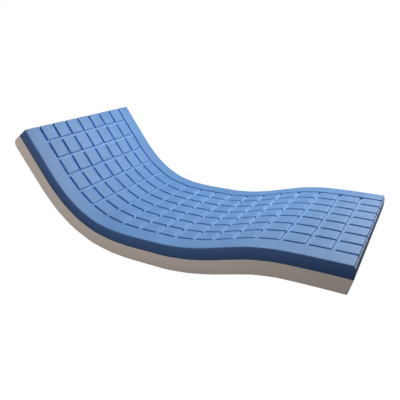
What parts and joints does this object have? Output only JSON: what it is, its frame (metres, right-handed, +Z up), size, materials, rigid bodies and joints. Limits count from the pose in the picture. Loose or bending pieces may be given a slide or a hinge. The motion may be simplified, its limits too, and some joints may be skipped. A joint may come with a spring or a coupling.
{
  "type": "pressure relief mattress",
  "caption": "Foam mattress core for a profiling bed: a castellated top layer bonded to a plain base layer, hinged in rows to raise at the back and the knees.",
  "frame": {"origin": "centre of the seat's flat underside, where the mattress rests", "axes": "+X towards the foot end, -X towards the head end, +Z up through the lying surface, Y across the width"},
  "size_m": [1.8383, 0.88, 0.6149],
  "materials": {
    "top_foam": "matte open-cell foam, light blue",
    "base_foam": "matte open-cell foam, grey beige"
  },
  "bodies": {
    "back_rows_01_to_03": {"top_foam_back_rows_01_to_03": "top_foam", "base_foam_back_rows_01_to_03": "base_foam"},
    "back_row_04": {"top_foam_back_row_04": "top_foam", "base_foam_back_row_04": "base_foam"},
    "back_row_05": {"top_foam_back_row_05": "top_foam", "base_foam_back_row_05": "base_foam"},
    "back_row_06": {"top_foam_back_row_06": "top_foam", "base_foam_back_row_06": "base_foam"},
    "back_row_07": {"top_foam_back_row_07": "top_foam", "base_foam_back_row_07": "base_foam"},
    "back_row_08": {"top_foam_back_row_08": "top_foam", "base_foam_back_row_08": "base_foam"},
    "seat_rows_09_to_10": {"top_foam_seat_rows_09_to_10": "top_foam", "base_foam_seat_rows_09_to_10": "base_foam"},
    "thigh_row_11": {"top_foam_thigh_row_11": "top_foam", "base_foam_thigh_row_11": "base_foam"},
    "thigh_row_12": {"top_foam_thigh_row_12": "top_foam", "base_foam_thigh_row_12": "base_foam"},
    "thigh_row_13": {"top_foam_thigh_row_13": "top_foam", "base_foam_thigh_row_13": "base_foam"},
    "knee_row_14": {"top_foam_knee_row_14": "top_foam", "base_foam_knee_row_14": "base_foam"},
    "knee_row_15": {"top_foam_knee_row_15": "top_foam", "base_foam_knee_row_15": "base_foam"},
    "calf_row_16": {"top_foam_calf_row_16": "top_foam", "base_foam_calf_row_16": "base_foam"},
    "calf_row_17": {"top_foam_calf_row_17": "top_foam", "base_foam_calf_row_17": "base_foam"},
    "foot_row_18": {"top_foam_foot_row_18": "top_foam", "base_foam_foot_row_18": "base_foam"}
  },
  "joints": [
    {"name": "back_raise", "type": "hinge", "parent": "seat_rows_09_to_10", "child": "back_row_08", "pos_m": [-0.1093, 0, 0.126], "axis": [0, 1, 0], "range_deg": [-4.2, 1.26]},
    {"name": "back_bend_07", "type": "hinge", "parent": "back_row_08", "child": "back_row_07", "pos_m": [-0.21831, 0, 0.13401], "axis": [0, 1, 0], "range_deg": [-8.3, 2.49]},
    {"name": "back_bend_06", "type": "hinge", "parent": "back_row_07", "child": "back_row_06", "pos_m": [-0.32502, 0, 0.15766], "axis": [0, 1, 0], "range_deg": [-13.1, 3.93]},
    {"name": "back_bend_05", "type": "hinge", "parent": "back_row_06", "child": "back_row_05", "pos_m": [-0.42359, 0, 0.20489], "axis": [0, 1, 0], "range_deg": [-12.4, 3.72]},
    {"name": "back_bend_04", "type": "hinge", "parent": "back_row_05", "child": "back_row_04", "pos_m": [-0.50972, 0, 0.27218], "axis": [0, 1, 0], "range_deg": [-9.9, 2.97]},
    {"name": "back_bend_03", "type": "hinge", "parent": "back_row_04", "child": "back_rows_01_to_03", "pos_m": [-0.58299, 0, 0.35328], "axis": [0, 1, 0], "range_deg": [-6.7, 2.01]},
    {"name": "leg_raise", "type": "hinge", "parent": "seat_rows_09_to_10", "child": "thigh_row_11", "pos_m": [0.1093, 0, 0.126], "axis": [0, -1, 0], "range_deg": [-5.9, 4.42]},
    {"name": "thigh_bend_11", "type": "hinge", "parent": "thigh_row_11", "child": "thigh_row_12", "pos_m": [0.21802, 0, 0.13723], "axis": [0, -1, 0], "range_deg": [-6.3, 4.73]},
    {"name": "thigh_bend_12", "type": "hinge", "parent": "thigh_row_12", "child": "thigh_row_13", "pos_m": [0.32485, 0, 0.16033], "axis": [0, -1, 0], "range_deg": [-4.1, 3.08]},
    {"name": "knee_bend_13", "type": "hinge", "parent": "thigh_row_13", "child": "knee_row_14", "pos_m": [0.44464, 0, 0.14014], "axis": [0, 1, 0], "range_deg": [-1.1, 0.83]},
    {"name": "knee_bend_14", "type": "hinge", "parent": "knee_row_14", "child": "knee_row_15", "pos_m": [0.55011, 0, 0.1688], "axis": [0, 1, 0], "range_deg": [-6.7, 5.03]},
    {"name": "knee_bend_15", "type": "hinge", "parent": "knee_row_15", "child": "calf_row_16", "pos_m": [0.65821, 0, 0.18495], "axis": [0, 1, 0], "range_deg": [-6.3, 4.73]},
    {"name": "knee_bend_16", "type": "hinge", "parent": "calf_row_16", "child": "calf_row_17", "pos_m": [0.76743, 0, 0.18915], "axis": [0, 1, 0], "range_deg": [-1.7, 1.28]},
    {"name": "knee_bend_17", "type": "hinge", "parent": "calf_row_17", "child": "foot_row_18", "pos_m": [0.87673, 0, 0.1901], "axis": [0, 1, 0], "range_deg": [-0.8, 0.6]}
  ],
  "couplings": [
    {"joint": "back_bend_07", "follows": "back_raise", "ratio": 1.9762},
    {"joint": "back_bend_06", "follows": "back_raise", "ratio": 3.119},
    {"joint": "back_bend_05", "follows": "back_raise", "ratio": 2.9524},
    {"joint": "back_bend_04", "follows": "back_raise", "ratio": 2.3571},
    {"joint": "back_bend_03", "follows": "back_raise", "ratio": 1.5952},
    {"joint": "thigh_bend_11", "follows": "leg_raise", "ratio": 1.0678},
    {"joint": "thigh_bend_12", "follows": "leg_raise", "ratio": 0.69492},
    {"joint": "knee_bend_13", "follows": "leg_raise", "ratio": 0.18644},
    {"joint": "knee_bend_14", "follows": "leg_raise", "ratio": 1.1356},
    {"joint": "knee_bend_15", "follows": "leg_raise", "ratio": 1.0678},
    {"joint": "knee_bend_16", "follows": "leg_raise", "ratio": 0.28814},
    {"joint": "knee_bend_17", "follows": "leg_raise", "ratio": 0.13559}
  ]
}
